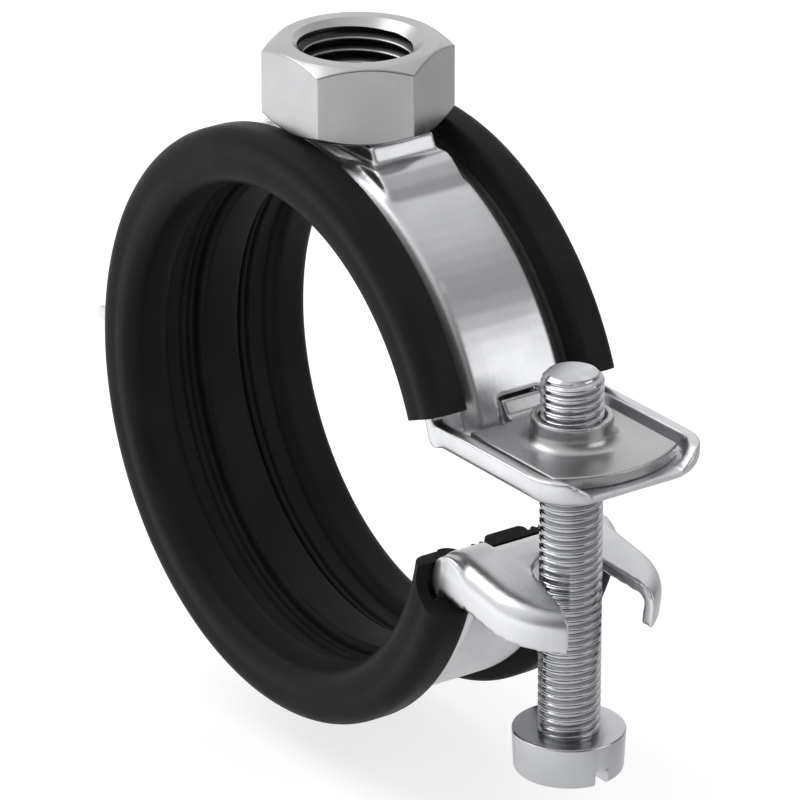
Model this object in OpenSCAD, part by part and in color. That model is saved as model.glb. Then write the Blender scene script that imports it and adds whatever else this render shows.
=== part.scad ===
// Hinged pipe clamp with a rubber lining, a weld-on connection nut and a swing-in screw.
// Frame: origin at the pipe's centre, X to the closing screw, Y along the pipe, Z to the nut.

/* [Pipe seat] */
// Radius of the pipe seat at the lining's crests
seat_r = 19.4; // [17:0.1:26]
// Lining thickness under the band
lining_t = 1.4; // [1.3:0.1:3.5]
// Width of the lining along the pipe
lining_w = 17.5; // [16.9:0.1:22]
// Height of the lips above the band's edge strips
lip_over = 2.2; // [1.6:0.1:2.8]
// Distance between the two lips
lip_gap = 11; // [10.4:0.1:12]
// Width of the raised rib in the middle of the seat
mid_rib_w = 3.8; // [2:0.1:5]
// Depth of the grooves beside that rib
groove_d = 0.8; // [0.4:0.1:1]
// Angle of the upper lining's end above the pipe's centre
upper_end_a = 21.5; // [20:0.5:26]
// Depth of the lower lips' ends below the pipe's centre
lower_end_z = 7.6; // [7.2:0.1:9]
// Angle of the lower lining's inner end below the pipe's centre
inner_end_a = 11.5; // [11.5:0.5:16]

/* [Band] */
// Sheet thickness of both band halves
band_t = 1; // [0.8:0.05:1.2]
// Width of the band
band_w = 15.4; // [14.6:0.1:15.8]
// Height of the raised middle above the edge strips
bead_h = 1; // [0.6:0.1:1.2]
// Width of the raised middle at its top
bead_w = 7.8; // [7.2:0.1:8.2]
// Radius inside the folds
fold_r = 0.6; // [0.4:0.1:0.9]

/* [Tray] */
// Height of the tray's floor above the pipe's centre
tray_z = 6.1; // [5.6:0.1:6.6]
// Distance from the pipe's centre to the tray's front edge
tray_x = 36.2; // [35.6:0.1:38]
// Height of the tray's rim above its floor
tray_rim = 1.4; // [0.8:0.1:2]
// Corner radius of the tray
corner_r = 3.8; // [2.6:0.1:4.4]
// Reach of the tray's screw hole beyond the screw's axis
hole_x = 6.4; // [6.2:0.1:7]

/* [Fork] */
// Angle that the lower half is open in the frame shown
open_a = 9.2; // [7:0.1:11]
// Reach of the fork beyond the screw's axis
fork_x = 6.2; // [5:0.1:8]
// Depth of the fork's outer face below the pipe's centre, at the screw
fork_z = 4.9; // [4.6:0.1:5.4]
// Width of the fork
fork_w = 14.8; // [14.2:0.1:15.2]
// Corner radius of the fork
fork_corner = 6.5; // [4:0.1:7]
// Depth of the fork's rim below its top face
fork_rim = 3.3; // [2.6:0.1:4]
// Width of the slot that the screw swings into
slot_w = 6; // [5.6:0.1:6.4]
// Width of that slot at the fork's tips
mouth_w = 8.4; // [7:0.1:9]
// Radius of the round ears at the fork's back corners
ear_r = 2.2; // [1.6:0.05:2.2]

/* [Hinge] */
// Distance from the pipe's centre to the hinge axis
pivot_x = 28.45; // [28.2:0.05:32]
// Height of the hinge axis
pivot_z = -0.7; // [-1.2:0.1:-0.4]
// Radius of the bar's rounded edges
bar_r = 0.97; // [0.9:0.01:1.1]
// Width of the hinge lug
lug_w = 10.8; // [9:0.1:10.9]
// Width of the hook
hook_w = 5.6; // [4:0.1:6.4]

/* [Nut] */
// Width across flats
nut_af = 13; // [13:0.5:17]
// Height of the nut
nut_h = 6.4; // [5:0.1:10]
// Radius of the thread's crests
nut_bore_r = 4.25; // [3:0.05:5]
// Length of the raised boss under the nut
boss_l = 12.9; // [11:0.1:14]
// Width of that boss
boss_w = 5.9; // [5:0.1:6.3]
// Height of that boss above the band's raised middle
boss_h = 1.3; // [1.3:0.1:3]

/* [Thread plate] */
// Thickness of the thread plate
plate_t = 1; // [0.8:0.1:1.4]
// Width of its tongue, which hooks through the window
tongue_w = 3.4; // [3:0.1:5]
// Height of the window above the tray's floor
window_h = 2.3; // [2:0.1:3]
// Width of the thread plate
plate_w = 11.6; // [10:0.1:12.4]
// Distance from the pipe's centre to the middle of the plate's front edge
plate_x = 35.2; // [34.2:0.1:36]
// Height of the collar above the plate
collar_h = 1.9; // [1.2:0.1:3]
// Wall of the collar
collar_t = 0.65; // [0.5:0.05:0.9]

/* [Screw] */
// Distance from the pipe's centre to the screw's axis
screw_x = 27.8; // [27.4:0.1:29]
// Radius of the shank
shank_r = 2.42; // [2:0.01:2.6]
// Length of the shank under the head
shank_l = 29.4; // [26:0.1:36]
// Height of the screw's tip above the pipe's centre
tip_z = 12.4; // [11:0.1:16]
// Radius of the head
head_r = 4.4; // [3.6:0.05:4.6]
// Height of the head
head_h = 3.4; // [2.6:0.1:4.2]
// Width of the driver slot
drive_w = 1.2; // [0.8:0.1:1.6]
// Depth of the driver slot
drive_d = 1.3; // [0.8:0.1:2]

/* [Clearances] */
// Between the lining and the band
snug = 0.05; // [0.02:0.01:0.15]
// Radial clearance of the hook on its bar and of the screw in its collar
run = 0.08; // [0.03:0.01:0.1]
// Side clearance of the hook, the tongue and the plate in the tray
side = 0.3; // [0.2:0.05:0.4]

/* [Hidden] */
$fn = 96;

steel = [0.78, 0.79, 0.81];
rubber = [0.07, 0.07, 0.07];

base_in = seat_r + lining_t;
base_out = base_in + band_t;
bead_out = base_out + bead_h;
nut_z = bead_out + boss_h;
lip_r = base_out + lip_over;
band_half = band_w / 2;
lining_half = lining_w / 2;
hook_in = bar_r + run;
hook_out = hook_in + band_t;
hook_tip_a = -165;
big = 200;

// A flat shape of the X-Z plane, given a width along Y
module across(w) rotate([90, 0, 0]) linear_extrude(height = w, center = true) children();

// A section of radius and Y, turned about the pipe's axis from angle a to angle b
module round_pipe(a, b) rotate([90, 0, 0]) rotate([0, 0, a]) rotate_extrude(angle = b - a) children();

// Points on an arc about c, from angle a to angle b
function arc(c, r, a, b, n) = [for (i = [0:n]) c + r * [cos(a + (b - a) * i / n), sin(a + (b - a) * i / n)]];

// Band section: edge strips and a raised middle with sloping shoulders.
// x is the distance from the pipe's axis, y runs along the pipe.
module band_section() {
    top = bead_w / 2;
    foot = top + bead_h;
    step = band_t * tan(22.5);
    translate([base_in, 0]) difference() {
        polygon([[0, -band_half], [band_t, -band_half], [band_t, -foot], [band_t + bead_h, -top],
                 [band_t + bead_h, top], [band_t, foot], [band_t, band_half], [0, band_half]]);
        polygon([[-1, step - foot - 1], [bead_h, step - top], [bead_h, top - step], [-1, foot - step + 1]]);
    }
}

// Edge of a pan: flat floor, round fold and upright rim. x is outwards, y is up.
module pan_edge(reach, rim) {
    out_r = fold_r + band_t;
    c = [reach - out_r, fold_r];
    polygon(concat([[0, 0], [0, -band_t]], arc(c, out_r, 270, 360, 6), [[reach, rim], [reach - band_t, rim]],
                   arc(c, fold_r, 360, 270, 6)));
}

// A shallow pan from x = x0 to x = x1, open at the back. Its floor's inner face is at z = 0.
module pan(x0, x1, half, r, rim) {
    translate([x0, r - half, -band_t]) cube([x1 - r - x0, 2 * (half - r), band_t]);
    for (s = [-1, 1]) scale([1, s, 1]) {
        translate([x0, half - r, 0]) rotate([90, 0, 90]) linear_extrude(height = x1 - r - x0) pan_edge(r, rim);
        translate([x1 - r, half - r, 0]) rotate_extrude(angle = 90) pan_edge(r, rim);
    }
    translate([x1 - r, half - r, 0]) rotate([90, 0, 0])
        linear_extrude(height = 2 * (half - r)) pan_edge(r, rim);
}

// Straight-sided slot with round ends, along X
module slot(x0, x1, r, z, h) {
    translate([x0, -r, z]) cube([x1 - x0, 2 * r, h]);
    for (x = [x0, x1]) translate([x, 0, z]) cylinder(r = r, h = h);
}

// Raised boss with sloping ends, from inside the band up to height z
module boss(half_l, half_w, z) {
    across(2 * half_w) polygon([[-half_l - 0.35, base_in + 0.4], [half_l + 0.35, base_in + 0.4],
                                [half_l, z - 1.2], [half_l - 0.6, z], [0.6 - half_l, z], [-half_l, z - 1.2]]);
}

// Fold between the ring and a floor that runs outwards from it. In its frame the floor lies along x
// and its inner face is at height h. The ring's outer face has radius r.
function fold_c(r, h) = [sqrt((r + fold_r) * (r + fold_r) - (h + fold_r) * (h + fold_r)), h + fold_r];
function fold_a(r, h) = asin((h + fold_r) / (r + fold_r));
function polar(r, a) = r * [cos(a), sin(a)];

// Width of each radius along the pipe: the edge strips and the raised middle
fold_runs = [[base_out, band_w - 0.6], [bead_out, bead_w - 1]];

// Material in the fold's hollow side
module fold_fill(h) {
    bite = 0.3;
    for (f = fold_runs) {
        c = fold_c(f[0], h);
        a = fold_a(f[0], h);
        across(f[1]) polygon(concat([polar(f[0] - bite, a)], arc(c, fold_r, a + 180, 270, 5),
                                    [[c[0], h - bite]]));
    }
}

// Cut that rounds the fold's other side
module fold_round(h) {
    out_r = fold_r + band_t;
    for (f = fold_runs) {
        c = fold_c(f[0], h);
        a = fold_a(f[0], h);
        back = polar(f[0] - 3 * band_t, a);
        across(f[0] > base_out ? bead_w - 1 : band_w + 2)
            polygon(concat([back], arc(c, out_r, a + 180, 270, 8),
                           [[c[0], h - 3 * band_t], [back[0], h - 3 * band_t]]));
    }
}

// Everything below height z, from x = x0 on
module below(z, x0 = 0) translate([x0, -big / 2, z - big]) cube(big);

module tilt(a) rotate([0, -a, 0]) children();
module flip() mirror([1, 0, 0]) children();

// Upper half
lug_top = pivot_z + band_t / 2;
lug_end = pivot_x + bar_r - 0.1;
hole_r = shank_r + 0.33;
hole_x0 = screw_x - shank_r - 0.25 + hole_r;
hole_x1 = screw_x + hole_x - hole_r;
wall_x = (base_in + base_out) / 2;
floor_x = wall_x - 0.4;
tray_back = sqrt(base_out * base_out - tray_z * tray_z);
window_w = tongue_w + 2 * side;
window_x = tray_back + 1.4;

module upper_band() {
    color(steel) difference() {
        union() {
            difference() {
                round_pipe(8, 186) band_section();
                below(tray_z - band_t / 2);
                below(lug_top - band_t / 2, -big);
            }
            tray();
            fold_fill(tray_z);
            translate([-lug_end, -lug_w / 2, lug_top - band_t]) cube([lug_end - floor_x, lug_w, band_t]);
            boss(boss_l / 2, boss_w / 2, nut_z);
        }
        fold_round(tray_z);
        // hollow under the boss
        boss(boss_l / 2 - band_t, boss_w / 2 - band_t, nut_z - band_t);
        // window and screw hole
        translate([base_in - 4, -window_w / 2, tray_z - 3])
            cube([window_x - base_in + 4, window_w, window_h + 3]);
        slot(hole_x0, hole_x1, hole_r, tray_z - 2, 3);
        // room for the hook
        translate([-lug_end - 1, -hook_w / 2 - side, lug_top - 2])
            cube([lug_end - pivot_x + 1 + hook_out + 0.6, hook_w + 2 * side, 3]);
    }
    // bar that the hook turns on
    color(steel) intersection() {
        translate([-pivot_x, 0, pivot_z]) rotate([90, 0, 0])
            cylinder(r = bar_r, h = hook_w + 2 * side + 0.4, center = true);
        translate([-pivot_x - 2, -band_w, lug_top - band_t]) cube([4, 2 * band_w, band_t]);
    }
}

// Tray with a rim along its sides and corners. Its front edge is flat.
module tray() translate([0, 0, tray_z]) difference() {
    flat = 4.4;
    pan(floor_x, tray_x, band_half - 0.1, corner_r, tray_rim);
    translate([tray_x - corner_r + 1.6, -flat, 0]) cube([corner_r, 2 * flat, tray_rim + 1]);
}

// Lower half, built upside down and then turned over
fork_h = fork_z * cos(open_a) - screw_x * sin(open_a);
fork_s = screw_x * cos(open_a) + fork_z * sin(open_a);
leg_g = -open_a - 1.3;
leg_in = -pivot_x * sin(leg_g) - pivot_z * cos(leg_g) + hook_in;
leg_far = pivot_x * cos(leg_g) - pivot_z * sin(leg_g);
leg_near = wall_x * cos(leg_g) + 3.7 * sin(leg_g);
slot_back = screw_x - shank_r - 0.6;
ear_x = base_out + 0.4;
ear_z = lower_end_z - ear_r - 0.1;

module lower_band() {
    color(steel) rotate([180, 0, 0]) difference() {
        union() {
            difference() {
                round_pipe(-6, 184) band_section();
                tilt(open_a) below(fork_h - band_t / 2);
                flip() tilt(leg_g) below(leg_in + band_t / 2, -band_w);
            }
            tilt(open_a) {
                translate([0, 0, fork_h]) pan(floor_x, fork_s + fork_x, fork_w / 2, fork_corner, fork_rim - band_t);
                fold_fill(fork_h);
            }
            for (s = [-1, 1]) translate([ear_x, s * (fork_w - band_t) / 2, ear_z]) rotate([90, 0, 0])
                cylinder(r = ear_r, h = band_t - 0.1, center = true);
            across(hook_w) mirror([1, 0]) rotate(leg_g) polygon(concat(
                [[leg_near, leg_in], [leg_near, leg_in + band_t]],
                arc([leg_far, leg_in - hook_in], hook_out, 90, hook_tip_a - leg_g, 36),
                arc([leg_far, leg_in - hook_in], hook_in, hook_tip_a - leg_g, 90, 36)));
            across(lug_w) mirror([1, 0]) rotate(leg_g) translate([leg_near, leg_in]) square([1.6, band_t]);
        }
        intersection() {
            tilt(open_a) fold_round(fork_h);
            cube([big, fork_w - 2 * band_t + 0.1, big], center = true);
        }
        linear_extrude(height = 14) for (s = [-1, 1]) scale([1, s])
            polygon([[slot_back, -0.1], [slot_back, slot_w / 2], [screw_x, slot_w / 2],
                     [fork_s + fork_x, mouth_w / 2], [fork_s + fork_x, -0.1]]);
    }
}

// Lining section: x is the radius, y runs along the pipe
module lining_section() {
    lip_in = lip_gap / 2;
    crest = 1.3;
    side_w = 4.2;
    difference() {
        union() {
            translate([seat_r, -mid_rib_w / 2]) square([base_in - seat_r, mid_rib_w]);
            translate([seat_r + groove_d, -lining_half + 1]) square([base_in - snug - seat_r - groove_d, lining_w - 2]);
            for (s = [-1, 1]) scale([1, s]) {
                translate([seat_r + crest, lining_half - side_w]) square([lip_r - seat_r - 2 * crest, side_w]);
                translate([seat_r, lining_half - side_w + crest]) square([lip_r - seat_r, side_w - 2 * crest]);
                for (y = [lining_half - side_w + crest, lining_half - crest]) {
                    translate([seat_r + crest, y]) circle(crest);
                    translate([lip_r - crest, y]) circle(crest);
                }
            }
        }
        // slot for the band
        translate([base_in - snug, -band_half - snug]) square([band_t + 2 * snug, band_w + 2 * snug]);
        // open channel between the lips
        translate([base_in - snug, -lip_in]) square([lip_r, lip_gap]);
    }
}

module lining_upper() {
    color(rubber) difference() {
        round_pipe(upper_end_a, 186) lining_section();
        below(pivot_z, -big);
        // room for the plate's tongue
        translate([seat_r - 3, -window_w / 2, 0]) cube([6, window_w, tray_z + window_h + 2 * side]);
    }
}

module lining_lower() {
    body_w = fork_w - 2 * band_t - 2 * side;
    color(rubber) difference() {
        round_pipe(174, 360 - inner_end_a) lining_section();
        translate([-pivot_x, -big / 2, pivot_z]) rotate([0, open_a + 1, 0]) translate([-big / 2, 0, 0])
            cube([big / 2 + 20, big, big]);
        // the lips end early, and the seat runs on between the ears
        difference() {
            translate([0, -big / 2, -lower_end_z]) cube([big, big, lower_end_z + 1]);
            rotate([90, 0, 0]) cylinder(r = wall_x, h = body_w, center = true);
        }
    }
}

module connection_nut() {
    corner = nut_af / sqrt(3);
    flat_r = nut_af / 2 - 0.1;
    rise = (corner - flat_r) * tan(30);
    color(steel) translate([0, 0, nut_z]) difference() {
        intersection() {
            cylinder(r = corner, h = nut_h, $fn = 6);
            rotate_extrude() polygon([[0, 0], [flat_r, 0], [corner, rise], [corner, nut_h - rise],
                                      [flat_r, nut_h], [0, nut_h]]);
        }
        translate([0, 0, -1]) cylinder(r = nut_bore_r, h = nut_h + 2);
        for (z = [0, nut_h]) translate([0, 0, z]) rotate([z > 0 ? 180 : 0, 0, 0])
            rotate_extrude() polygon([[0, -1], [nut_bore_r + 1.9, -1], [nut_bore_r + 0.9, 0], [nut_bore_r, 0.52], [0, 0.52]]);
    }
}

module thread_plate() {
    back = window_x + 0.4;
    front_r = 9.4;
    flare = 1;
    collar_r = shank_r + run + collar_t;
    tip_x = base_in - 1.9;
    color(steel) difference() {
        union() {
            translate([0, 0, tray_z]) linear_extrude(height = plate_t) intersection() {
                translate([back, -plate_w / 2]) square([plate_x - back, plate_w]);
                translate([plate_x - front_r, 0]) circle(front_r);
            }
            translate([tip_x, -tongue_w / 2, tray_z]) cube([back + 0.5 - tip_x, tongue_w, plate_t]);
            translate([tip_x, -tongue_w / 2, tray_z]) cube([plate_t, tongue_w, window_h + 0.2]);
            translate([screw_x, 0, tray_z + plate_t - 0.2]) difference() {
                cylinder(r = collar_r + flare, h = collar_h + 0.2);
                rotate_extrude() translate([collar_r + flare, flare + 0.2]) circle(flare);
                translate([0, 0, flare + 0.2]) difference() {
                    cylinder(r = collar_r + flare + 1, h = collar_h);
                    cylinder(r = collar_r, h = collar_h);
                }
            }
        }
        translate([screw_x, 0, tray_z - 1]) cylinder(r = shank_r + run, h = plate_t + collar_h + 3);
    }
}

module closing_screw() {
    chamfer = 0.5;
    head_z = tip_z - shank_l;
    color(steel) translate([screw_x, 0, 0]) difference() {
        union() {
            translate([0, 0, head_z - 0.1]) cylinder(r = shank_r, h = shank_l + 0.1 - chamfer);
            translate([0, 0, tip_z - chamfer]) cylinder(r1 = shank_r, r2 = shank_r - chamfer, h = chamfer);
            translate([0, 0, head_z - head_h]) rotate_extrude()
                polygon([[0, 0], [head_r - 0.5, 0], [head_r - 0.1, 0.4], [head_r, head_h], [0, head_h]]);
        }
        translate([-head_r - 1, -drive_w / 2, head_z - head_h - 1]) cube([2 * head_r + 2, drive_w, drive_d + 1]);
    }
}

upper_band();
lower_band();
lining_upper();
lining_lower();
connection_nut();
thread_plate();
closing_screw();
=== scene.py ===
from math import asin, ceil, cos, degrees, pi, radians, sin, sqrt, tan

import bmesh
import bpy
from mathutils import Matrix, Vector


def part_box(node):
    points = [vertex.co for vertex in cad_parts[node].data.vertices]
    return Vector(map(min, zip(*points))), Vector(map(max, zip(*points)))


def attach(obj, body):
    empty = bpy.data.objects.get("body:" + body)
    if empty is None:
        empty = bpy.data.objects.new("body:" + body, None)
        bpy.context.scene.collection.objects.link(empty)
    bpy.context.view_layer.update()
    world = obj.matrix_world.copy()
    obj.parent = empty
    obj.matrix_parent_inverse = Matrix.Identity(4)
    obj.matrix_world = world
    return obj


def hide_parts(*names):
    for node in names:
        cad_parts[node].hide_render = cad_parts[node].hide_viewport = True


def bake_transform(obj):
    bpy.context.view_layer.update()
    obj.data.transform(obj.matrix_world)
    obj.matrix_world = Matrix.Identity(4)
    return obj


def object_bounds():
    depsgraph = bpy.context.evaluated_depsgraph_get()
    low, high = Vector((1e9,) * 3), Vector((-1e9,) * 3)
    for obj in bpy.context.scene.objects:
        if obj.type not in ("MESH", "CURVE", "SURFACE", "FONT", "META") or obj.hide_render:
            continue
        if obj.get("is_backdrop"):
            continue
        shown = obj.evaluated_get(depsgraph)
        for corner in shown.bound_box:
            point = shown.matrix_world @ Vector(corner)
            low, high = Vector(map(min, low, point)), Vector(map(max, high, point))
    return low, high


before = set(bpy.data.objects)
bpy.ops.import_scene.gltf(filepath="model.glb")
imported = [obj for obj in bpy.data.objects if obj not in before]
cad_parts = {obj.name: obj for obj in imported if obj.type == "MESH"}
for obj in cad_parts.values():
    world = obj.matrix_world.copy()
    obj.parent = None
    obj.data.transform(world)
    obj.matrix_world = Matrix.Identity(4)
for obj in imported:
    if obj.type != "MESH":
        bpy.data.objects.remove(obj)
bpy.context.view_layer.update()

bl_info = {
    "name": "Hinged pipe clamp",
    "version": (1, 0, 0),
    "blender": (4, 5, 0),
    "location": "View3D > Sidebar > Pipe clamp",
    "description": "Builds the visible pieces of a rubber-lined hinged pipe clamp on its CAD frame",
    "category": "Object",
}

MM = 0.001

# The photograph's view: the camera's direction from the clamp, its distance and its framing
VIEW_AZIMUTH = radians(54.53)
VIEW_ELEVATION = radians(23.25)
VIEW_DISTANCE = 531.5 * MM
VIEW_RIGHT = 3.22 * MM
VIEW_UP = 0.33 * MM
VIEW_LENS = 304.5
SENSOR_WIDTH = 36

# Places in the clamp that more than one piece needs
EAR_X, EAR_Z, EAR_RADIUS = 22.2 * MM, -5.3 * MM, 2.2 * MM
NUT_CREST = 4.25 * MM

# The floor lies this far below the clamp, because the lower half and the screw come down at their limits
FLOOR_DROP = 3.8 * MM
FLOOR_REACH = 3.0

# Brightness seen in reflections, along a direction: on the floor from a place in metres, and in the world
FLOOR_FALLOFF = {"Direction": (-6.0, -9.0, 0), "Start": -0.9, "Full": 0.7, "Dark": 0.0, "Bright": 0.9}
FLOOR_LIFT = 0.6
WORLD_FALLOFF = {"Direction": (-1.0, -0.3, 0.52), "Start": -0.5, "Full": 0.6, "Dark": 0.16, "Bright": 1.0}
WORLD_LIGHT = 0.9


# Sizes and colours

def length(name, description, millimetres):
    return bpy.props.FloatProperty(name=name, description=description, default=millimetres * MM,
                                   unit="LENGTH", subtype="DISTANCE", precision=5, min=0)


def colour(name, description, value):
    return bpy.props.FloatVectorProperty(name=name, description=description, default=value, size=3,
                                         subtype="COLOR", min=0, max=1)


class PipeClampSizes(bpy.types.PropertyGroup):
    seat_radius: length("Seat radius", "Radius of the lining's crests", 19.4)
    band_radius: length("Band radius", "Inner radius of the band's edge strips", 20.8)
    band_thickness: length("Band thickness", "Thickness of the band's sheet", 1.0)
    lip_radius: length("Lip radius", "Outer radius of the lining's lips", 23.99)
    lining_width: length("Lining width", "Width of the lining along the pipe", 17.5)
    band_width: length("Band width", "Width of the band along the pipe", 15.4)
    lip_gap: length("Lip gap", "Distance between the two lips", 11.0)
    rib_width: length("Rib width", "Width of the rib in the middle of the seat", 3.8)
    groove_depth: length("Groove depth", "Depth of the grooves beside the middle rib", 0.8)
    fine_rib: length("Fine rib", "Height of the fine ribs in the grooves", 0.28)
    crest: length("Crest rounding", "Rounding of the lining's long edges", 1.3)
    snug: length("Snug fit", "Gap between the lining and the band", 0.05)
    screw_pitch: length("Screw pitch", "Pitch of the closing screw's thread", 0.7)
    screw_thread: length("Screw thread depth", "Depth of the closing screw's thread", 0.34)
    nut_pitch: length("Nut pitch", "Pitch of the nut's thread", 1.0)
    nut_thread: length("Nut thread depth", "Depth of the nut's thread", 0.5)
    band_detail: length("Band detail", "Mesh size with which the upper half is softened", 0.2)
    fork_detail: length("Fork detail", "Mesh size with which the lower half is softened", 0.19)
    plate_detail: length("Plate detail", "Mesh size with which the thread plate is softened", 0.11)


class PipeClampColours(bpy.types.PropertyGroup):
    zinc: colour("Zinc", "Zinc plating of the band halves", (0.64, 0.645, 0.66))
    zinc_dull: colour("Dull zinc", "Duller patches in the zinc plating", (0.56, 0.565, 0.58))
    plate: colour("Plate", "Zinc plating of the thread plate", (0.44, 0.442, 0.45))
    rubber: colour("Rubber", "Lining", (0.011, 0.011, 0.0115))
    rubber_worn: colour("Worn rubber", "Rubbed and dusty places of the lining", (0.018, 0.018, 0.019))
    nut: colour("Nut", "Zinc plating of the nut", (0.46, 0.462, 0.47))
    screw: colour("Screw", "Zinc plating of the screw", (0.52, 0.525, 0.545))
    floor: colour("Floor", "Studio floor", (0.5, 0.5, 0.5))


# Mesh helpers

def add_piece(name, mesh, material=None):
    piece = bpy.data.objects.new(name, mesh)
    bpy.context.scene.collection.objects.link(piece)
    if material:
        mesh.materials.clear()
        mesh.materials.append(material)
    return piece


def delete_piece(piece):
    mesh = piece.data
    bpy.data.objects.remove(piece)
    bpy.data.meshes.remove(mesh)


def mesh_from(name, verts, faces, distance=1e-7):
    """A mesh from points and faces, with double points welded and its faces turned outwards."""
    mesh = bpy.data.meshes.new(name)
    bm = bmesh.new()
    points = [bm.verts.new(v) for v in verts]
    for face in faces:
        if len(set(face)) > 2:
            bm.faces.new([points[i] for i in face])
    bmesh.ops.remove_doubles(bm, verts=bm.verts, dist=distance)
    bmesh.ops.dissolve_degenerate(bm, edges=bm.edges, dist=distance)
    bmesh.ops.recalc_face_normals(bm, faces=bm.faces)
    bm.to_mesh(mesh)
    bm.free()
    return mesh


def baked(piece):
    """Applies the piece's modifiers to its mesh."""
    graph = bpy.context.evaluated_depsgraph_get()
    old = piece.data
    mesh = bpy.data.meshes.new_from_object(piece.evaluated_get(graph), depsgraph=graph)
    piece.modifiers.clear()
    piece.data = mesh
    bpy.data.meshes.remove(old)


def smooth(piece, crease):
    """Smooth shading, apart from edges at least as sharp as the crease angle."""
    bm = bmesh.new()
    bm.from_mesh(piece.data)
    for edge in bm.edges:
        edge.smooth = len(edge.link_faces) == 2 and edge.calc_face_angle(0) < crease
    for face in bm.faces:
        face.smooth = True
    bm.to_mesh(piece.data)
    bm.free()


def weld(piece, distance):
    """Welds double points and turns the faces outwards."""
    bm = bmesh.new()
    bm.from_mesh(piece.data)
    bmesh.ops.remove_doubles(bm, verts=bm.verts, dist=distance)
    bmesh.ops.recalc_face_normals(bm, faces=bm.faces)
    bm.to_mesh(piece.data)
    bm.free()


def cut(piece, cutter):
    """Takes the cutter's volume off the piece and deletes the cutter."""
    mod = piece.modifiers.new("Cut", "BOOLEAN")
    mod.operation = "DIFFERENCE"
    mod.solver = "EXACT"
    mod.object = cutter
    baked(piece)
    delete_piece(cutter)


def merge_into(piece, other):
    """Adds the other object's mesh to the piece and deletes that object."""
    bm = bmesh.new()
    bm.from_mesh(piece.data)
    bm.from_mesh(other.data)
    bm.to_mesh(piece.data)
    bm.free()
    delete_piece(other)


def from_millimetres(outline):
    """Points given in millimetres, in metres."""
    return [(x * MM, z * MM) for x, z in outline]


def arc(cx, cy, r, start, end, steps):
    """Points on an arc about (cx, cy), from the start angle to the end angle in degrees."""
    angles = [radians(start + (end - start) * i / steps) for i in range(steps + 1)]
    return [(cx + r * cos(a), cy + r * sin(a)) for a in angles]


def ring(radii, heights):
    """A closed ring of points about Z, one for each radius and height."""
    n = len(radii)
    return [(r * cos(2 * pi * i / n), r * sin(2 * pi * i / n), z)
            for i, (r, z) in enumerate(zip(radii, heights))]


def circle(radius, z, segments):
    return ring([radius] * segments, [z] * segments)


def skin(rings):
    """Points and faces that join closed rings of points, one after the other."""
    n = len(rings[0])
    faces = []
    for k in range(len(rings) - 1):
        for i in range(n):
            a, b = k * n + i, k * n + (i + 1) % n
            faces.append([a, b, b + n, a + n])
    return [point for points in rings for point in points], faces


def solid(name, rings, material=None):
    """A closed solid from rings of points, one after the other, with flat ends."""
    verts, faces = skin(rings)
    n = len(rings[0])
    faces += [list(range(n))[::-1], list(range(len(verts) - n, len(verts)))]
    return add_piece(name, mesh_from(name, verts, faces), material)


def prism(name, outline, y0, y1):
    """A closed prism along Y from an outline of (x, z) points."""
    return solid(name, [[(x, y, z) for x, z in outline] for y in (y0, y1)])


def prism_x(name, outline, x0, x1):
    """A closed prism along X from an outline of (y, z) points."""
    return solid(name, [[(x, y, z) for y, z in outline] for x in (x0, x1)])


def rectangle(x0, x1, z0, z1):
    return [(x0, z0), (x1, z0), (x1, z1), (x0, z1)]


def lathe(profile, segments):
    """Points and faces of a profile of (r, z) points turned about Z. Its ends lie on the axis."""
    return skin([circle(r, z, segments) for r, z in profile])


def helix(radius_at, z0, z1, pitch, shape, segments):
    """Points and faces of a threaded wall from z0 to z1. shape lists (share of the pitch, depth share)
    and radius_at(depth share, z) gives the radius. Its rows follow the helix."""
    turns = range(-1, ceil((z1 - z0) / pitch) + 1)
    rows = [(turn + share, depth) for turn in turns for share, depth in shape]
    verts, faces = [], []
    for place, depth in rows:
        for i in range(segments + 1):
            z = min(max(z0 + pitch * (place + i / segments), z0), z1)
            r = radius_at(depth, z)
            a = 2 * pi * i / segments
            verts.append((r * cos(a), r * sin(a), z))
    wide = segments + 1
    for row in range(len(rows) - 1):
        for i in range(segments):
            a = row * wide + i
            faces.append([a, a + 1, a + 1 + wide, a + wide])
    return verts, faces


# Material helpers

def node(tree, kind, x, y, **values):
    n = tree.nodes.new(kind)
    n.location = (x, y)
    for key, value in values.items():
        setattr(n, key, value)
    return n


def feed(tree, value, socket):
    """Puts a number or an output into a socket."""
    if isinstance(value, bpy.types.NodeSocket):
        tree.links.new(value, socket)
    else:
        socket.default_value = value


def worked_out(tree, x, y, operation, a, b):
    """The output of a Math node on two outputs."""
    n = node(tree, "ShaderNodeMath", x, y, operation=operation)
    tree.links.new(a, n.inputs[0])
    tree.links.new(b, n.inputs[1])
    return n.outputs[0]


def ranged(tree, x, y, value, low, high, to_low, to_high):
    """An output moved from the range low to high into the range to_low to to_high, and kept in it."""
    n = node(tree, "ShaderNodeMapRange", x, y)
    tree.links.new(value, n.inputs["Value"])
    for label, number in (("From Min", low), ("From Max", high), ("To Min", to_low), ("To Max", to_high)):
        feed(tree, number, n.inputs[label])
    return n.outputs["Result"]


def noise(tree, x, y, vector, scale, detail, roughness=0.5):
    """A noise between 0 and 1, whose scale is a number or an output."""
    n = node(tree, "ShaderNodeTexNoise", x, y)
    tree.links.new(vector, n.inputs["Vector"])
    feed(tree, scale, n.inputs["Scale"])
    n.inputs["Detail"].default_value = detail
    n.inputs["Roughness"].default_value = roughness
    return n.outputs["Fac"]


def scaled(value, factor):
    """A colour made lighter or darker."""
    return [min(1, factor * c) for c in value]


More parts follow.
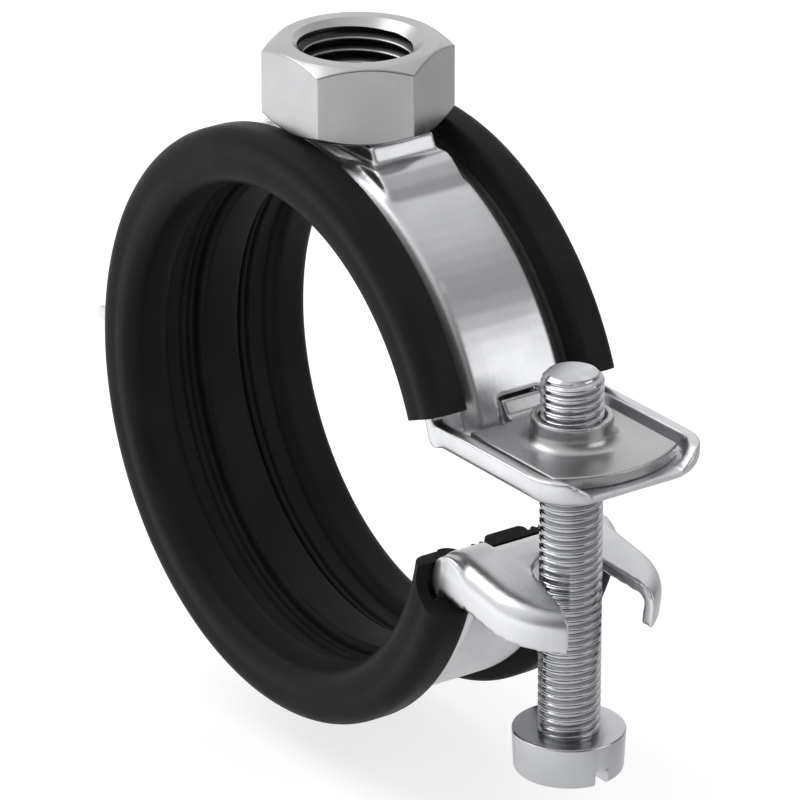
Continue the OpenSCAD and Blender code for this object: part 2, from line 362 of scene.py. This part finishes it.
def mixed_colour(tree, x, y, a, b, factor):
    """A colour between a and b. Each is a colour or an output, and factor is an output."""
    mix = node(tree, "ShaderNodeMix", x, y, data_type="RGBA")
    for value, socket in ((a, mix.inputs[6]), (b, mix.inputs[7])):
        feed(tree, value if isinstance(value, bpy.types.NodeSocket) else (*value, 1), socket)
    tree.links.new(factor, mix.inputs[0])
    return mix.outputs[2]


def new_group(name, inputs, outputs):
    group = bpy.data.node_groups.new(name, "ShaderNodeTree")
    for label, kind, value in inputs:
        socket = group.interface.new_socket(label, in_out="INPUT", socket_type=kind)
        if value is not None:
            socket.default_value = value
    for label, kind in outputs:
        group.interface.new_socket(label, in_out="OUTPUT", socket_type=kind)
    return group, node(group, "NodeGroupInput", -900, 0), node(group, "NodeGroupOutput", 900, 0)


def placed_group(tree, group, x, y, **values):
    n = node(tree, "ShaderNodeGroup", x, y, node_tree=group)
    for label, value in values.items():
        n.inputs[label].default_value = value
    return n


def metal_grain_group():
    """Brushed lines along the strip, cloudy patches and fine speckle, from the object's coordinates."""
    name = "Metal grain"
    if name in bpy.data.node_groups:
        return bpy.data.node_groups[name]
    group, gin, gout = new_group(
        name,
        [("Lines", "NodeSocketFloat", 9000.0), ("Along", "NodeSocketFloat", 90.0),
         ("Clouds", "NodeSocketFloat", 160.0), ("Speckle", "NodeSocketFloat", 3500.0)],
        [("Lines", "NodeSocketFloat"), ("Clouds", "NodeSocketFloat"), ("Speckle", "NodeSocketFloat")])
    place = node(group, "ShaderNodeTexCoord", -900, 300).outputs["Object"]
    split = node(group, "ShaderNodeSeparateXYZ", -700, 300)
    group.links.new(place, split.inputs[0])
    stretched = node(group, "ShaderNodeCombineXYZ", -300, 300)
    for axis, factor in (("X", "Along"), ("Y", "Lines"), ("Z", "Along")):
        times = worked_out(group, -500, 300, "MULTIPLY", split.outputs[axis], gin.outputs[factor])
        group.links.new(times, stretched.inputs[axis])
    lines = noise(group, -100, 300, stretched.outputs[0], 1, 4, 0.65)
    clouds = noise(group, -100, 0, place, gin.outputs["Clouds"], 5)
    speckle = noise(group, -100, -300, place, gin.outputs["Speckle"], 2)
    for label, value in (("Lines", lines), ("Clouds", clouds), ("Speckle", speckle)):
        group.links.new(value, gout.inputs[label])
    return group


def worn_edge_group():
    """A broken mask on the outer edges, from the surface's pointiness."""
    name = "Worn edges"
    if name in bpy.data.node_groups:
        return bpy.data.node_groups[name]
    group, gin, gout = new_group(
        name,
        [("Start", "NodeSocketFloat", 0.53), ("Full", "NodeSocketFloat", 0.6),
         ("Scale", "NodeSocketFloat", 900.0)],
        [("Mask", "NodeSocketFloat")])
    surface = node(group, "ShaderNodeNewGeometry", -700, 300)
    edges = ranged(group, -300, 300, surface.outputs["Pointiness"],
                   gin.outputs["Start"], gin.outputs["Full"], 0, 1)
    place = node(group, "ShaderNodeTexCoord", -700, 0).outputs["Object"]
    broken = noise(group, -300, 0, place, gin.outputs["Scale"], 3)
    group.links.new(worked_out(group, 0, 200, "MULTIPLY", edges, broken), gout.inputs["Mask"])
    return group


def new_material(name):
    material = bpy.data.materials.new(name)
    material.use_nodes = True
    tree = material.node_tree
    shader = tree.nodes["Principled BSDF"]
    shader.location = (600, 0)
    tree.nodes["Material Output"].location = (900, 0)
    return material, tree, shader


def add_bumps(tree, shader, grain, heights):
    """Bump nodes in a row, one for each named output of the grain group, with heights in millimetres."""
    normal = None
    for i, (label, height) in enumerate(heights):
        bump = node(tree, "ShaderNodeBump", 100 + 250 * i, -300)
        bump.inputs["Strength"].default_value = 1
        bump.inputs["Distance"].default_value = height * MM
        tree.links.new(grain.outputs[label], bump.inputs["Height"])
        if normal:
            tree.links.new(normal, bump.inputs["Normal"])
        normal = bump.outputs["Normal"]
    tree.links.new(normal, shader.inputs["Normal"])


def zinc_material(name, bright, dull, lines=14000.0, along=60.0, roughness=(0.27, 0.35),
                  line_height=0.004, speckle_height=0.0015, streak=0.2):
    """Zinc-plated steel: brushed lines, cloudy patches, fine speckle and rubbed edges."""
    material, tree, shader = new_material(name)
    grain = placed_group(tree, metal_grain_group(), -800, 0, Lines=lines, Along=along)
    worn = placed_group(tree, worn_edge_group(), -800, -400)
    patches = ranged(tree, -500, 200, grain.outputs["Clouds"], 0.35, 0.65, 0, 1)
    streaks = ranged(tree, -500, 450, grain.outputs["Lines"], 0.3, 0.7, 0, streak)
    base = mixed_colour(tree, -200, 250, dull, bright, patches)
    base = mixed_colour(tree, 0, 300, base, scaled(bright, 1.25), streaks)
    base = mixed_colour(tree, 200, 250, base, scaled(bright, 1.35), worn.outputs["Mask"])
    tree.links.new(base, shader.inputs["Base Color"])
    line_rough = ranged(tree, -500, -50, grain.outputs["Lines"], 0.3, 0.7, *roughness)
    cloud_rough = ranged(tree, -500, -250, grain.outputs["Clouds"], 0.3, 0.7, 0.05, -0.03)
    rough = worked_out(tree, 0, 0, "ADD", line_rough, cloud_rough)
    tree.links.new(rough, shader.inputs["Roughness"])
    shader.inputs["Metallic"].default_value = 1
    add_bumps(tree, shader, grain, (("Lines", line_height), ("Speckle", speckle_height)))
    return material


def paint_groove_shade(material, crest, z0, z1, strength):
    """Painted shade: darkens the grooves of a thread about Z, outside its crests' radius, below z0 and less up
    to z1.
    """
    tree = material.node_tree
    shader = tree.nodes["Principled BSDF"]
    base = shader.inputs["Base Color"].links[0].from_socket
    # Painted shade colour for the thread grooves, where shade falls inside the bore
    dark = (0.03, 0.03, 0.032)
    start, full = crest + 0.02 * MM, crest + 0.12 * MM
    leave, gone = crest + 0.7 * MM, crest + 0.8 * MM
    coords = node(tree, "ShaderNodeTexCoord", -800, 900)
    split = node(tree, "ShaderNodeSeparateXYZ", -600, 900)
    tree.links.new(coords.outputs["Object"], split.inputs[0])
    flat = node(tree, "ShaderNodeCombineXYZ", -400, 900)
    for axis in ("X", "Y"):
        tree.links.new(split.outputs[axis], flat.inputs[axis])
    away = node(tree, "ShaderNodeVectorMath", -200, 900, operation="LENGTH")
    tree.links.new(flat.outputs[0], away.inputs[0])
    outside = ranged(tree, 0, 1000, away.outputs["Value"], start, full, 0, 1)
    near = ranged(tree, 0, 1200, away.outputs["Value"], leave, gone, 1, 0)
    deep = ranged(tree, 0, 700, split.outputs["Z"], z0, z1, strength, 0)
    groove = worked_out(tree, 200, 1000, "MULTIPLY", outside, near)
    mask = worked_out(tree, 200, 800, "MULTIPLY", groove, deep)
    tree.links.new(mixed_colour(tree, 400, 500, base, dark, mask), shader.inputs["Base Color"])


def rubber_material(name, base_colour, worn_colour):
    """Moulded rubber: a satin black skin with faint flow marks, dust and rubbed edges."""
    material, tree, shader = new_material(name)
    grain = placed_group(tree, metal_grain_group(), -800, 0, Lines=1400.0, Along=60.0, Clouds=220.0,
                         Speckle=5200.0)
    worn = placed_group(tree, worn_edge_group(), -800, -400)
    patches = ranged(tree, -500, 200, grain.outputs["Clouds"], 0.45, 0.75, 0, 0.5)
    base = mixed_colour(tree, -200, 250, base_colour, worn_colour, patches)
    base = mixed_colour(tree, 0, 250, base, worn_colour, worn.outputs["Mask"])
    tree.links.new(base, shader.inputs["Base Color"])
    rough = ranged(tree, -500, 0, grain.outputs["Clouds"], 0.3, 0.7, 0.40, 0.55)
    tree.links.new(rough, shader.inputs["Roughness"])
    shader.inputs["Specular IOR Level"].default_value = 0.06
    add_bumps(tree, shader, grain, (("Lines", 0.02), ("Speckle", 0.012)))
    return material


# Rubber lining

def lining_section(s):
    """Closed outline of (radius, y) points of the rubber strip, from the middle of the seat outwards."""
    seat, crest, top = s.seat_radius, s.crest, s.lip_radius
    half = s.lining_width / 2
    side_crest = half - 4.2 * MM
    groove = seat + s.groove_depth
    rib = s.rib_width / 2
    under = s.band_radius - s.snug
    over = s.band_radius + s.band_thickness + s.snug
    slot = s.band_width / 2 + s.snug
    gap = s.lip_gap / 2
    soft = 0.55 * MM
    fine_ribs, foot, shoulder = (2.45 * MM, 3.2 * MM), 0.28 * MM, 0.16 * MM
    line, line_half, line_depth = seat + 2.35 * MM, 0.35 * MM, 0.07 * MM
    points = [(seat, 0), *arc(seat + soft, rib - soft, soft, 180, 90, 6), (groove, rib)]
    for y in fine_ribs:
        for side, share in ((-foot, 0), (-shoulder, 0.8), (0, 1), (shoulder, 0.8), (foot, 0)):
            points.append((groove - share * s.fine_rib, y + side))
    reach = sqrt(crest ** 2 - (seat + crest - groove) ** 2)
    start = degrees(asin(reach / crest))
    points += arc(seat + crest, side_crest + crest, crest, 180 + start, 180, 8)
    points += arc(seat + crest, half - crest, crest, 180, 90, 8)
    points += [(line - line_half, half), (line, half - line_depth), (line + line_half, half)]
    points += arc(top - crest, half - crest, crest, 90, 0, 8)
    points += arc(top - soft, gap + soft, soft, 0, -90, 6)
    points += [(over, gap), (over, slot), (under, slot)]
    return points + [(r, -y) for r, y in reversed(points[1:])]


def cut_lips(piece, s):
    """The lips end below the fork's ears, and the seat runs on between the ears."""
    lips_end, slope = -7.6 * MM, 0.4 * MM
    near, middle, far = 5 * MM, 25 * MM, 30 * MM
    inner, outer = 6.1 * MM, 12 * MM
    wall = s.band_radius + s.band_thickness / 2
    ear = arc(EAR_X, EAR_Z, EAR_RADIUS + 0.1 * MM, 146, 258, 14)
    around = [(near, ear[0][1]), *ear, (middle, lips_end - slope), (far, lips_end), (far, 0), (near, 0)]
    for y0, y1 in ((inner, outer), (-outer, -inner)):
        cut(piece, prism("lip_cut", around, y0, y1))
    bow = arc(0, 0, wall, -degrees(asin(-lips_end / wall)), 0, 24)
    cut(piece, prism("outer_cut", [*bow, (far, 0), (far, lips_end)], -1.05 * inner, 1.05 * inner))


def cut_tongue_room(piece):
    """Room in the seat's upper end for the thread plate's tongue."""
    low_x, high_x, top_z, half = 16.4 * MM, 22.4 * MM, 9.0 * MM, 2.0 * MM
    cut(piece, prism("tongue_cut", rectangle(low_x, high_x, 0, top_z), -half, half))


def build_lining(s, material):
    """One strip, from below the thread plate over the top and across the hinge to the fork."""
    section = lining_section(s)
    first, last, step = 21.5, 348.5, 2.0
    count = ceil((last - first) / step)
    angles = [radians(first + (last - first) * k / count) for k in range(count + 1)]
    rings = [[(r * cos(a), y, r * sin(a)) for r, y in section] for a in angles]
    piece = solid("rubber_lining", rings, material)
    cut_lips(piece, s)
    cut_tongue_room(piece)
    smooth(piece, radians(38))
    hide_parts("lining_upper", "lining_lower")
    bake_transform(piece)


# Closing screw

def screw_shank(s, crest, chamfer, start, tip):
    """The rolled thread up to the tip's chamfer, and the flat tip. The crests have a fine rolling seam."""
    segments = 48

    def radius_at(depth, z):
        return min(crest - depth * s.screw_thread, crest - chamfer + (tip - z))

    shape = [(0.0, 1.0), (0.1, 1.0), (0.27, 0.15), (0.34, 0.0), (0.43, 0.0), (0.53, 0.2), (0.63, 0.0),
             (0.72, 0.0), (0.79, 0.15), (0.97, 1.0)]
    verts, faces = helix(radius_at, start, tip, s.screw_pitch, shape, segments)
    centre = len(verts)
    verts += [(0, 0, tip), *circle(crest - chamfer, tip, segments)]
    faces += [[centre, centre + 1 + i, centre + 1 + (i + 1) % segments] for i in range(segments)]
    return mesh_from("thread", verts, faces, 2e-6)


def screw_head(radius, low, high, material):
    """A cheese head with a driver slot in its lower face. Rings on its flat faces keep their shading even."""
    edge, draft = 0.35 * MM, 0.1 * MM
    slot_half, slot_depth, clear = 0.6 * MM, 1.3 * MM, 1.0 * MM
    under = arc(radius - draft - 1.1 * edge, low + edge, edge, -90, 0, 6)
    over = arc(radius - 0.5 * edge, high - 0.5 * edge, 0.5 * edge, 0, 90, 5)
    profile = [(0, low), (1.4 * MM, low), (2.8 * MM, low), *under, *over, (3.2 * MM, high), (0, high)]
    head = add_piece("head", mesh_from("head", *lathe(profile, 96)), material)
    slot = rectangle(-slot_half, slot_half, low - clear, low + slot_depth)
    cut(head, prism_x("driver_slot", slot, -2 * radius, 2 * radius))
    return head


def build_screw(s, material):
    low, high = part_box("closing_screw")
    axis = Vector(((low[0] + high[0]) / 2, (low[1] + high[1]) / 2, 0))
    crest, chamfer, head_height, overlap = 2.42 * MM, 0.5 * MM, 3.4 * MM, 0.3 * MM
    head_radius, head_top = (high[0] - low[0]) / 2, low[2] + head_height
    shank = screw_shank(s, crest, chamfer, head_top - overlap, high[2])
    piece = add_piece("closing_screw_threaded", shank, material)
    merge_into(piece, screw_head(head_radius, low[2], head_top, material))
    for v in piece.data.vertices:
        v.co += axis
    smooth(piece, radians(32))
    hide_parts("closing_screw")
    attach(piece, "screw")


# Connection nut

def nut_rings(flat, base, top, mouth, segments):
    """Rings round the hexagon, with its corners turned off at both ends, from mouth to mouth."""
    slope = tan(pi / 6)
    round_r = flat - 0.25 * MM
    angles = [(2 * pi * i / segments + pi / 6) % (pi / 3) - pi / 6 for i in range(segments)]
    hexagon = [flat / cos(pi / 6 - abs(a)) for a in angles]
    rises = [slope * (r - round_r) for r in hexagon]
    return [circle(mouth, base, segments), circle(round_r, base, segments),
            ring(hexagon, [base + h for h in rises]), ring(hexagon, [top - h for h in rises]),
            circle(round_r, top, segments), circle(mouth, top, segments)]


def build_nut(s, material):
    low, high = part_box("connection_nut")
    base, top = low[2], high[2]
    flat = (high[0] - low[0]) / 2 * cos(pi / 6)
    mouth, sink, segments = 5.12 * MM, 0.66 * MM, 72
    body = mesh_from("connection_nut_threaded", *skin(nut_rings(flat, base, top, mouth, segments)))
    piece = add_piece("connection_nut_threaded", body, material)
    edge = piece.modifiers.new("Edges", "BEVEL")
    edge.width = 0.1 * MM
    edge.segments = 2
    edge.limit_method = "ANGLE"
    edge.angle_limit = radians(24)
    baked(piece)

    def radius_at(depth, z):
        inside = min(z - base, top - z)
        return max(NUT_CREST + depth * s.nut_thread, mouth - (mouth - NUT_CREST) * inside / sink)

    shape = [(0.0, 1.0), (0.1, 1.0), (0.45, 0.08), (0.49, 0.0), (0.55, 0.0), (0.59, 0.08), (0.97, 1.0)]
    wall = helix(radius_at, base, top, s.nut_pitch, shape, segments)
    merge_into(piece, add_piece("thread", mesh_from("thread", *wall, 2e-6), material))
    weld(piece, 3e-6)
    smooth(piece, radians(14))
    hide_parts("connection_nut")
    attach(piece, "upper_half")


# Pressed sheet pieces

def build_sheet_piece(name, source, body, material, detail, added=(), removed=()):
    """A pressed sheet with soft folds and edges, from its CAD node, with forms added and removed."""
    piece = add_piece(name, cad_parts[source].data.copy(), material)
    weld(piece, 1e-6)
    for form in removed:
        cut(piece, form)
    for form in added:
        merge_into(piece, form)
    grid = piece.modifiers.new("Grid", "REMESH")
    grid.mode = "VOXEL"
    grid.voxel_size = detail
    soften = piece.modifiers.new("Soften", "SMOOTH")
    soften.factor = 0.5
    soften.iterations = 4
    baked(piece)
    piece.data.materials.clear()
    piece.data.materials.append(material)
    for face in piece.data.polygons:
        face.use_smooth = True
    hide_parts(source)
    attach(piece, body)


def boss_saddle():
    """The band is pressed flat round the boss, with a short slope down to the ring on each side."""
    side = [(7.0, 22.74), (7.8, 22.35), (8.8, 21.5), (9.6, 20.6), (9.0, 20.2), (6.0, 21.4)]
    outline = [*side, (0, 22.2), *[(-x, z) for x, z in reversed(side)]]
    half = 3.5 * MM
    return prism("boss_saddle", from_millimetres(outline), -half, half)


def rim_fades():
    """Wedges to cut away, so that the ends of the tray's rim slope down to its flat front edge."""
    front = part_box("upper_band")[1][0]
    back, clear = 2.3 * MM, 1.0 * MM
    foot, crown, floor_z, rim_z = 3.9 * MM, 6.4 * MM, 6.12 * MM, 7.7 * MM
    forms = []
    for side in (-1, 1):
        outline = [(side * foot, floor_z), (side * crown, rim_z), (side * foot, rim_z)]
        forms.append(prism_x("rim_fade", outline, front - back, front + clear))
    return forms


def tongue_ramp():
    """The plate's tongue rises as it passes through the window."""
    outline = [(22.9, 6.95), (22.1, 7.2), (21.4, 8.2), (19.4, 8.2), (19.4, 6.3), (22.9, 6.3)]
    half = 1.8 * MM
    return prism("tongue_ramp", from_millimetres(outline), -half, half)


def slot_end():
    """Fills the back of the fork's slot to a round end, in the tilted plane of the fork."""
    tilt, overlap = radians(9.2), 0.02 * MM
    upper, lower = 0.39 * MM - overlap, -0.61 * MM + overlap
    back, front, half = 24.0 * MM, 28.0 * MM, 3.1 * MM
    round_end = arc(28.2 * MM, 0, 2.98 * MM, 266, 94, 24)
    plan = [(back, -half), (front, -half), *round_end, (front, half), (back, half)]
    rings = [[(x * cos(tilt) - h * sin(tilt), y, -x * sin(tilt) - h * cos(tilt)) for x, y in plan]
             for h in (upper, lower)]
    return solid("slot_end", rings)


def ear_trims():
    """Forms to cut away: the ring's edge over the fork's ears and round them, and the ears' lower lobes."""
    near, far, top = 19.0 * MM, 24.6 * MM, -2.6 * MM
    ring_edge = rectangle(near, far, -7.5 * MM, top)
    ear = [*arc(EAR_X, EAR_Z, EAR_RADIUS, 100, 236, 20),
           *from_millimetres([(18.5, -7.15), (18.5, -2.6), (21.8, -2.6)])]
    lobe = from_millimetres([(20.95, -6.35), (24.6, -6.95), (24.6, -8.2), (20.35, -8.2)])
    forms = []
    for side in (-1, 1):
        for outline, inner, outer in ((ring_edge, 7.42, 8.2), (ear, 6.45, 8.1), (lobe, 6.2, 8.3)):
            low, high = sorted((side * inner * MM, side * outer * MM))
            forms.append(prism("ear_trim", outline, low, high))
    return forms


# Stage

def falloff_group():
    """Studio brightness in reflections: bright on the side of the big lamp and dark opposite to it."""
    name = "Studio falloff"
    if name in bpy.data.node_groups:
        return bpy.data.node_groups[name]
    group, gin, gout = new_group(
        name,
        [("Vector", "NodeSocketVector", None), ("Direction", "NodeSocketVector", None),
         ("Start", "NodeSocketFloat", -0.8), ("Full", "NodeSocketFloat", 0.8),
         ("Dark", "NodeSocketFloat", 0.1), ("Bright", "NodeSocketFloat", 1.0)],
        [("Level", "NodeSocketFloat")])
    along = node(group, "ShaderNodeVectorMath", -400, 0, operation="DOT_PRODUCT")
    level = node(group, "ShaderNodeMapRange", -100, 0, interpolation_type="SMOOTHSTEP")
    links = ((gin.outputs["Vector"], along.inputs[0]),
             (gin.outputs["Direction"], along.inputs[1]),
             (along.outputs["Value"], level.inputs["Value"]),
             (gin.outputs["Start"], level.inputs["From Min"]),
             (gin.outputs["Full"], level.inputs["From Max"]),
             (gin.outputs["Dark"], level.inputs["To Min"]),
             (gin.outputs["Bright"], level.inputs["To Max"]),
             (level.outputs["Result"], gout.inputs["Level"]))
    for source, target in links:
        group.links.new(source, target)
    return group


def seen_strength(tree, vector, falloff, white, other):
    """Brightness: white for the camera and through glass, falloff in reflections, other for the rest."""
    path = node(tree, "ShaderNodeLightPath", -900, 0)
    shade = placed_group(tree, falloff_group(), -900, -400, **falloff)
    tree.links.new(vector, shade.inputs["Vector"])
    value = other
    for ray, level, y in (("Is Glossy Ray", shade.outputs["Level"], -200), ("Is Camera Ray", white, 0),
                          ("Is Transmission Ray", white, 200)):
        mix = node(tree, "ShaderNodeMix", -400, y, data_type="FLOAT")
        tree.links.new(path.outputs[ray], mix.inputs[0])
        feed(tree, value, mix.inputs[2])
        feed(tree, level, mix.inputs[3])
        value = mix.outputs[0]
    return value


def build_floor(colour_value):
    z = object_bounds()[0][2] - FLOOR_DROP
    corners = [(x, y, z) for x, y in rectangle(-FLOOR_REACH, FLOOR_REACH, -FLOOR_REACH, FLOOR_REACH)]
    material, tree, shader = new_material("studio_floor")
    shader.inputs["Base Color"].default_value = (*colour_value, 1)
    shader.inputs["Roughness"].default_value = 0.9
    shader.inputs["Specular IOR Level"].default_value = 0.1
    shader.inputs["Emission Strength"].default_value = 1
    place = node(tree, "ShaderNodeNewGeometry", -1200, -400).outputs["Position"]
    lift = seen_strength(tree, place, FLOOR_FALLOFF, FLOOR_LIFT, 0.0)
    tree.links.new(lift, shader.inputs["Emission Color"])
    add_piece("studio_floor", mesh_from("studio_floor", corners, [[0, 1, 2, 3]]), material)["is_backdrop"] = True


def build_world():
    world = bpy.data.worlds.new("studio")
    bpy.context.scene.world = world
    world.use_nodes = True
    tree = world.node_tree
    back = tree.nodes["Background"]
    back.inputs["Strength"].default_value = 1
    direction = node(tree, "ShaderNodeTexCoord", -1200, -400).outputs["Generated"]
    light = seen_strength(tree, direction, WORLD_FALLOFF, 1.0, WORLD_LIGHT)
    tree.links.new(light, back.inputs["Color"])


def softbox(name, place, size, power):
    """A big lamp that points at the clamp and isn't seen by the camera."""
    lamp = bpy.data.lights.new(name, "AREA")
    lamp.shape = "RECTANGLE"
    lamp.size, lamp.size_y = size
    lamp.energy = power
    light = bpy.data.objects.new(name, lamp)
    light.location = place
    light.rotation_euler = (-Vector(place)).to_track_quat("-Z", "Y").to_euler()
    light.visible_camera = False
    bpy.context.scene.collection.objects.link(light)


def build_camera():
    a, e = VIEW_AZIMUTH, VIEW_ELEVATION
    right = Vector((cos(a), sin(a), 0))
    up = Vector((-sin(a) * sin(e), cos(a) * sin(e), cos(e)))
    back = Vector((sin(a) * cos(e), -cos(a) * cos(e), sin(e)))
    data = bpy.data.cameras.new("photo_view")
    data.sensor_width = SENSOR_WIDTH
    data.lens = VIEW_LENS
    data.clip_start, data.clip_end = 0.01, 20
    camera = bpy.data.objects.new("photo_view", data)
    camera.location = right * VIEW_RIGHT + up * VIEW_UP + back * VIEW_DISTANCE
    camera.rotation_euler = (-back).to_track_quat("-Z", "Y").to_euler()
    bpy.context.scene.collection.objects.link(camera)
    bpy.context.scene.camera = camera


# Operators and panel

class PIPECLAMP_OT_lining(bpy.types.Operator):
    """Build the rubber lining as one strip that runs across the hinge"""
    bl_idname = "pipe_clamp.lining"
    bl_label = "Rubber lining"

    def execute(self, context):
        c = context.scene.pipe_clamp_colours
        rubber = rubber_material("lining_rubber", c.rubber, c.rubber_worn)
        build_lining(context.scene.pipe_clamp_sizes, rubber)
        return {"FINISHED"}


class PIPECLAMP_OT_bands(bpy.types.Operator):
    """Build both band halves and the thread plate as pressed sheet with soft folds"""
    bl_idname = "pipe_clamp.bands"
    bl_label = "Band halves and thread plate"

    def execute(self, context):
        s, c = context.scene.pipe_clamp_sizes, context.scene.pipe_clamp_colours
        zinc = zinc_material("zinc_plated_band", c.zinc, c.zinc_dull)
        build_sheet_piece("upper_band_sheet", "upper_band", "upper_half", zinc,
                          s.band_detail, added=[boss_saddle()], removed=rim_fades())
        build_sheet_piece("lower_band_sheet", "lower_band", "lower_half", zinc,
                          s.fork_detail, added=[slot_end()], removed=ear_trims())
        plate = zinc_material("zinc_plated_plate", c.plate, scaled(c.plate, 0.88), lines=9000.0,
                              along=3000.0, roughness=(0.25, 0.31), line_height=0.0008, streak=0.15)
        build_sheet_piece("thread_plate_sheet", "thread_plate", "plate", plate,
                          s.plate_detail, added=[tongue_ramp()])
        return {"FINISHED"}


class PIPECLAMP_OT_screw(bpy.types.Operator):
    """Build the closing screw with its helical thread"""
    bl_idname = "pipe_clamp.screw"
    bl_label = "Closing screw"

    def execute(self, context):
        c = context.scene.pipe_clamp_colours
        steel = zinc_material("screw_steel", c.screw, scaled(c.screw, 0.9), lines=2500.0, along=2500.0,
                              roughness=(0.14, 0.2), line_height=0.001, speckle_height=0.0006, streak=0.1)
        build_screw(context.scene.pipe_clamp_sizes, steel)
        return {"FINISHED"}


class PIPECLAMP_OT_nut(bpy.types.Operator):
    """Build the connection nut with its inner thread"""
    bl_idname = "pipe_clamp.nut"
    bl_label = "Connection nut"

    def execute(self, context):
        c = context.scene.pipe_clamp_colours
        steel = zinc_material("nut_steel", c.nut, scaled(c.nut, 0.9), lines=900.0, along=500.0,
                              roughness=(0.24, 0.32), line_height=0.001, speckle_height=0.001, streak=0.15)
        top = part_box("connection_nut")[1][2]
        # Painted shade in the nut's thread grooves, deep in its bore
        paint_groove_shade(steel, NUT_CREST, top - 0.85 * MM, top - 0.6 * MM, 0.95)
        build_nut(context.scene.pipe_clamp_sizes, steel)
        return {"FINISHED"}


class PIPECLAMP_OT_stage(bpy.types.Operator):
    """Build the floor, the light and the camera"""
    bl_idname = "pipe_clamp.stage"
    bl_label = "Studio"

    def execute(self, context):
        context.scene.view_settings.view_transform = "Standard"
        build_floor(context.scene.pipe_clamp_colours.floor)
        build_world()
        softbox("key_light", (-0.45, -0.35, 0.7), (0.6, 0.6), 2.2)
        softbox("side_light", (0.62, 0.4, 0.28), (0.55, 0.45), 1.1)
        build_camera()
        return {"FINISHED"}


OPERATORS = (PIPECLAMP_OT_bands, PIPECLAMP_OT_lining, PIPECLAMP_OT_screw, PIPECLAMP_OT_nut,
             PIPECLAMP_OT_stage)


class PIPECLAMP_PT_pieces(bpy.types.Panel):
    bl_label = "Pipe clamp"
    bl_idname = "PIPECLAMP_PT_pieces"
    bl_space_type = "VIEW_3D"
    bl_region_type = "UI"
    bl_category = "Pipe clamp"

    def draw(self, context):
        for operator in OPERATORS:
            self.layout.operator(operator.bl_idname)
        for group in (context.scene.pipe_clamp_sizes, context.scene.pipe_clamp_colours):
            for key in group.__annotations__:
                self.layout.prop(group, key)


CLASSES = (PipeClampSizes, PipeClampColours, *OPERATORS, PIPECLAMP_PT_pieces)


def register():
    for cls in CLASSES:
        bpy.utils.register_class(cls)
    bpy.types.Scene.pipe_clamp_sizes = bpy.props.PointerProperty(type=PipeClampSizes)
    bpy.types.Scene.pipe_clamp_colours = bpy.props.PointerProperty(type=PipeClampColours)


def unregister():
    del bpy.types.Scene.pipe_clamp_colours
    del bpy.types.Scene.pipe_clamp_sizes
    for cls in reversed(CLASSES):
        bpy.utils.unregister_class(cls)


def main():
    register()
    bpy.ops.pipe_clamp.bands()
    bpy.ops.pipe_clamp.lining()
    bpy.ops.pipe_clamp.screw()
    bpy.ops.pipe_clamp.nut()
    bpy.ops.pipe_clamp.stage()


if __name__ == "__main__":
    main()
